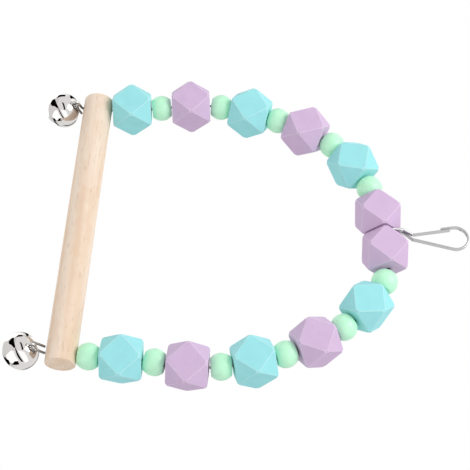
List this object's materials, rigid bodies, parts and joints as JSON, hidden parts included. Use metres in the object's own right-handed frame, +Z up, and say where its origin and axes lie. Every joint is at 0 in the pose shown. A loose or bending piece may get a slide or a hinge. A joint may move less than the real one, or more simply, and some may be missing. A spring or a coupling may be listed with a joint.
{
  "type": "bird swing",
  "caption": "Hanging cage swing: wooden perch on a wire arch threaded with painted faceted and round beads, a spring clip at the top and a jingle bell under each end.",
  "frame": {"origin": "inside top of the clip's hook, where it hangs on a cage bar or ring", "axes": "+Z up as the swing hangs, +X along the perch, +Y away from the side that the picture shows"},
  "size_m": [0.1378, 0.0199, 0.1801],
  "materials": {
    "perch_wood": "sanded, unfinished pale wood",
    "aqua_paint": "matte paint on wood",
    "lilac_paint": "matte paint on wood",
    "mint_paint": "satin lacquer on wood",
    "wire_steel": "drawn bright wire",
    "clip_zinc": "bright zinc plate",
    "bell_nickel": "mirror nickel plate",
    "pellet_steel": "plain steel ball"
  },
  "bodies": {
    "clip": {"clip_hook": "clip_zinc"},
    "spring_arm": {"clip_spring_arm": "clip_zinc"},
    "frame": {"frame_wire": "wire_steel", "perch": "perch_wood"},
    "aqua_bead_1": {"aqua_bead_1": "aqua_paint"},
    "mint_bead_1": {"mint_bead_1": "mint_paint"},
    "lilac_bead_1": {"lilac_bead_1": "lilac_paint"},
    "mint_bead_2": {"mint_bead_2": "mint_paint"},
    "aqua_bead_2": {"aqua_bead_2": "aqua_paint"},
    "mint_bead_3": {"mint_bead_3": "mint_paint"},
    "lilac_bead_2": {"lilac_bead_2": "lilac_paint"},
    "mint_bead_4": {"mint_bead_4": "mint_paint"},
    "aqua_bead_3": {"aqua_bead_3": "aqua_paint"},
    "mint_bead_5": {"mint_bead_5": "mint_paint"},
    "lilac_bead_3": {"lilac_bead_3": "lilac_paint"},
    "lilac_bead_4": {"lilac_bead_4": "lilac_paint"},
    "mint_bead_6": {"mint_bead_6": "mint_paint"},
    "aqua_bead_4": {"aqua_bead_4": "aqua_paint"},
    "mint_bead_7": {"mint_bead_7": "mint_paint"},
    "lilac_bead_5": {"lilac_bead_5": "lilac_paint"},
    "mint_bead_8": {"mint_bead_8": "mint_paint"},
    "aqua_bead_5": {"aqua_bead_5": "aqua_paint"},
    "mint_bead_9": {"mint_bead_9": "mint_paint"},
    "lilac_bead_6": {"lilac_bead_6": "lilac_paint"},
    "mint_bead_10": {"mint_bead_10": "mint_paint"},
    "aqua_bead_6": {"aqua_bead_6": "aqua_paint"},
    "mint_bead_11": {"mint_bead_11": "mint_paint"},
    "far_bell": {"far_bell_top": "bell_nickel", "far_bell_petals": "bell_nickel", "far_bell_shank": "bell_nickel"},
    "far_pellet": {"far_bell_pellet": "pellet_steel"},
    "near_bell": {"near_bell_top": "bell_nickel", "near_bell_petals": "bell_nickel", "near_bell_shank": "bell_nickel"},
    "near_pellet": {"near_bell_pellet": "pellet_steel"}
  },
  "joints": [
    {"name": "swing", "type": "hinge", "parent": "clip", "child": "frame", "pos_m": [-0.0004, 0, -0.0342], "axis": [0.983, 0, 0.1838], "range_deg": [-80, 80]},
    {"name": "spring_arm_flex", "type": "hinge", "parent": "clip", "child": "spring_arm", "pos_m": [-0.0005, 0, -0.02095], "axis": [0, 1, 0], "range_deg": [0, 20], "stiffness_Nm_per_rad": 0.02},
    {"name": "aqua_bead_1_spin", "type": "hinge", "parent": "frame", "child": "aqua_bead_1", "pos_m": [-0.05343, 0, -0.14066], "axis": [-0.105, 0, 0.9945], "continuous": true},
    {"name": "mint_bead_1_spin", "type": "hinge", "parent": "frame", "child": "mint_bead_1", "pos_m": [-0.05508, 0, -0.12829], "axis": [-0.1868, 0, 0.9824], "continuous": true},
    {"name": "lilac_bead_1_spin", "type": "hinge", "parent": "frame", "child": "lilac_bead_1", "pos_m": [-0.0568, 0, -0.11596], "axis": [-0.1125, 0, 0.9937], "continuous": true},
    {"name": "mint_bead_2_spin", "type": "hinge", "parent": "frame", "child": "mint_bead_2", "pos_m": [-0.05735, 0, -0.10312], "axis": [0.0906, 0, 0.9959], "continuous": true},
    {"name": "aqua_bead_2_spin", "type": "hinge", "parent": "frame", "child": "aqua_bead_2", "pos_m": [-0.05521, 0, -0.0907], "axis": [0.2106, 0, 0.9776], "continuous": true},
    {"name": "mint_bead_3_spin", "type": "hinge", "parent": "frame", "child": "mint_bead_3", "pos_m": [-0.05221, 0, -0.07857], "axis": [0.2955, 0, 0.9553], "continuous": true},
    {"name": "lilac_bead_2_spin", "type": "hinge", "parent": "frame", "child": "lilac_bead_2", "pos_m": [-0.04762, 0, -0.06686], "axis": [0.4002, 0, 0.9164], "continuous": true},
    {"name": "mint_bead_4_spin", "type": "hinge", "parent": "frame", "child": "mint_bead_4", "pos_m": [-0.04146, 0, -0.05546], "axis": [0.609, 0, 0.7932], "continuous": true},
    {"name": "aqua_bead_3_spin", "type": "hinge", "parent": "frame", "child": "aqua_bead_3", "pos_m": [-0.03199, 0, -0.04659], "axis": [0.7856, 0, 0.6187], "continuous": true},
    {"name": "mint_bead_5_spin", "type": "hinge", "parent": "frame", "child": "mint_bead_5", "pos_m": [-0.02119, 0, -0.03944], "axis": [0.9097, 0, 0.4152], "continuous": true},
    {"name": "lilac_bead_3_spin", "type": "hinge", "parent": "frame", "child": "lilac_bead_3", "pos_m": [-0.00876, 0, -0.03589], "axis": [0.9802, 0, 0.1979], "continuous": true},
    {"name": "lilac_bead_4_spin", "type": "hinge", "parent": "frame", "child": "lilac_bead_4", "pos_m": [0.00801, 0, -0.03275], "axis": [0.9855, 0, 0.1696], "continuous": true},
    {"name": "mint_bead_6_spin", "type": "hinge", "parent": "frame", "child": "mint_bead_6", "pos_m": [0.02155, 0, -0.03275], "axis": [0.9521, 0, -0.3059], "continuous": true},
    {"name": "aqua_bead_4_spin", "type": "hinge", "parent": "frame", "child": "aqua_bead_4", "pos_m": [0.03292, 0, -0.03954], "axis": [0.7898, 0, -0.6134], "continuous": true},
    {"name": "mint_bead_7_spin", "type": "hinge", "parent": "frame", "child": "mint_bead_7", "pos_m": [0.04248, 0, -0.04815], "axis": [0.6434, 0, -0.7655], "continuous": true},
    {"name": "lilac_bead_5_spin", "type": "hinge", "parent": "frame", "child": "lilac_bead_5", "pos_m": [0.04955, 0, -0.05876], "axis": [0.5056, 0, -0.8628], "continuous": true},
    {"name": "mint_bead_8_spin", "type": "hinge", "parent": "frame", "child": "mint_bead_8", "pos_m": [0.05544, 0, -0.06995], "axis": [0.3854, 0, -0.9228], "continuous": true},
    {"name": "aqua_bead_5_spin", "type": "hinge", "parent": "frame", "child": "aqua_bead_5", "pos_m": [0.0594, 0, -0.08189], "axis": [0.2774, 0, -0.9607], "continuous": true},
    {"name": "mint_bead_9_spin", "type": "hinge", "parent": "frame", "child": "mint_bead_9", "pos_m": [0.06237, 0, -0.09416], "axis": [0.1532, 0, -0.9882], "continuous": true},
    {"name": "lilac_bead_6_spin", "type": "hinge", "parent": "frame", "child": "lilac_bead_6", "pos_m": [0.06301, 0, -0.10685], "axis": [-0.004, 0, -1], "continuous": true},
    {"name": "mint_bead_10_spin", "type": "hinge", "parent": "frame", "child": "mint_bead_10", "pos_m": [0.0623, 0, -0.11952], "axis": [-0.1529, 0, -0.9882], "continuous": true},
    {"name": "aqua_bead_6_spin", "type": "hinge", "parent": "frame", "child": "aqua_bead_6", "pos_m": [0.06184, 0, -0.13229], "axis": [0.0252, 0, -0.9997], "continuous": true},
    {"name": "mint_bead_11_spin", "type": "hinge", "parent": "frame", "child": "mint_bead_11", "pos_m": [0.06172, 0, -0.14483], "axis": [-0.0769, 0, -0.997], "continuous": true},
    {"name": "far_bell_swing", "type": "hinge", "parent": "frame", "child": "far_bell", "pos_m": [-0.05128, -0.00545, -0.16387], "axis": [1, 0, 0], "range_deg": [-137, 2]},
    {"name": "far_pellet_roll", "type": "slide", "parent": "far_bell", "child": "far_pellet", "axis": [0, -0.682, 0.7314], "range_m": [0, 0.007]},
    {"name": "near_bell_swing", "type": "hinge", "parent": "frame", "child": "near_bell", "pos_m": [0.06012, -0.0038, -0.16626], "axis": [1, 0, 0], "range_deg": [-145, 13]},
    {"name": "near_pellet_roll", "type": "slide", "parent": "near_bell", "child": "near_pellet", "axis": [0, -0.7771, 0.6293], "range_m": [0, 0.007]}
  ]
}
